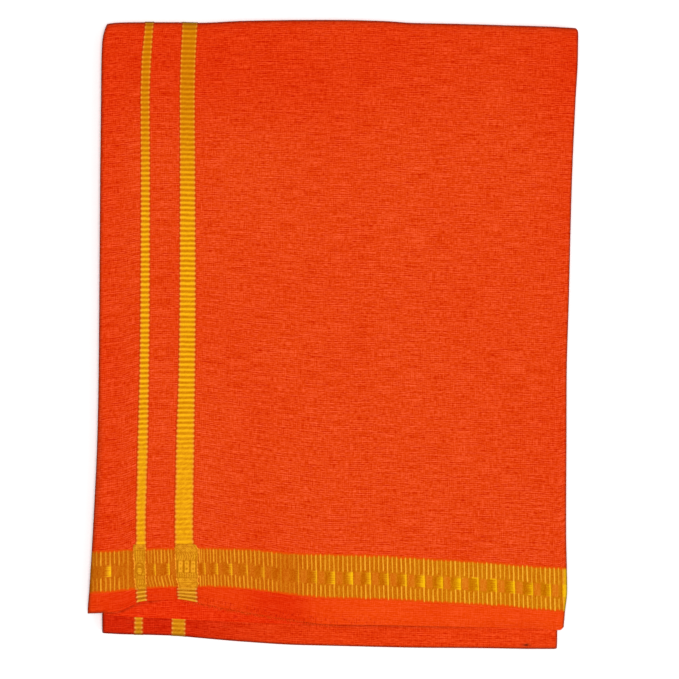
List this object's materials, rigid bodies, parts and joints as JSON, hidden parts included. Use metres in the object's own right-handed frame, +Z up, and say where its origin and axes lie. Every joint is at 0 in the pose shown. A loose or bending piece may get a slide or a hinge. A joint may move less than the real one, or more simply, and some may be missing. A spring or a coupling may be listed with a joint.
{
  "type": "folded dhoti cloth",
  "caption": "Plain cotton dhoti folded flat into a rectangular pack, with woven gold side borders and a cross band near its cut end.",
  "frame": {"origin": "under the middle of the pack, on the surface that it rests on", "axes": "+X across the pack to its right with the borders at the left, +Y up the front from the lower fold to the top fold, +Z up out of the front"},
  "size_m": [0.3297, 0.4231, 0.0147],
  "materials": {
    "cloth_front": "matt plain-weave cotton",
    "cloth_back": "matt plain-weave cotton",
    "cloth_tail": "matt plain-weave cotton",
    "cloth_second": "matt plain-weave cotton with a frayed cut edge",
    "cloth_layers": "matt plain-weave cotton, folded edges",
    "zari_band": "woven gold thread on a brown ground, soft sheen",
    "zari_border": "woven gold thread with fine cross ribs, soft sheen"
  },
  "bodies": {
    "root": {"front_panel": "cloth_front", "back_panel": "cloth_back", "tail_panel": "cloth_tail", "second_ply": "cloth_second", "hidden_layers": "cloth_layers", "cross_band": "zari_band", "narrow_border_front": "zari_border", "narrow_border_heading": "zari_border", "narrow_border_back": "zari_border", "narrow_border_tail": "zari_border", "wide_border_front": "zari_border", "wide_border_heading": "zari_border", "wide_border_back": "zari_border", "wide_border_tail": "zari_border"}
  },
  "joints": []
}
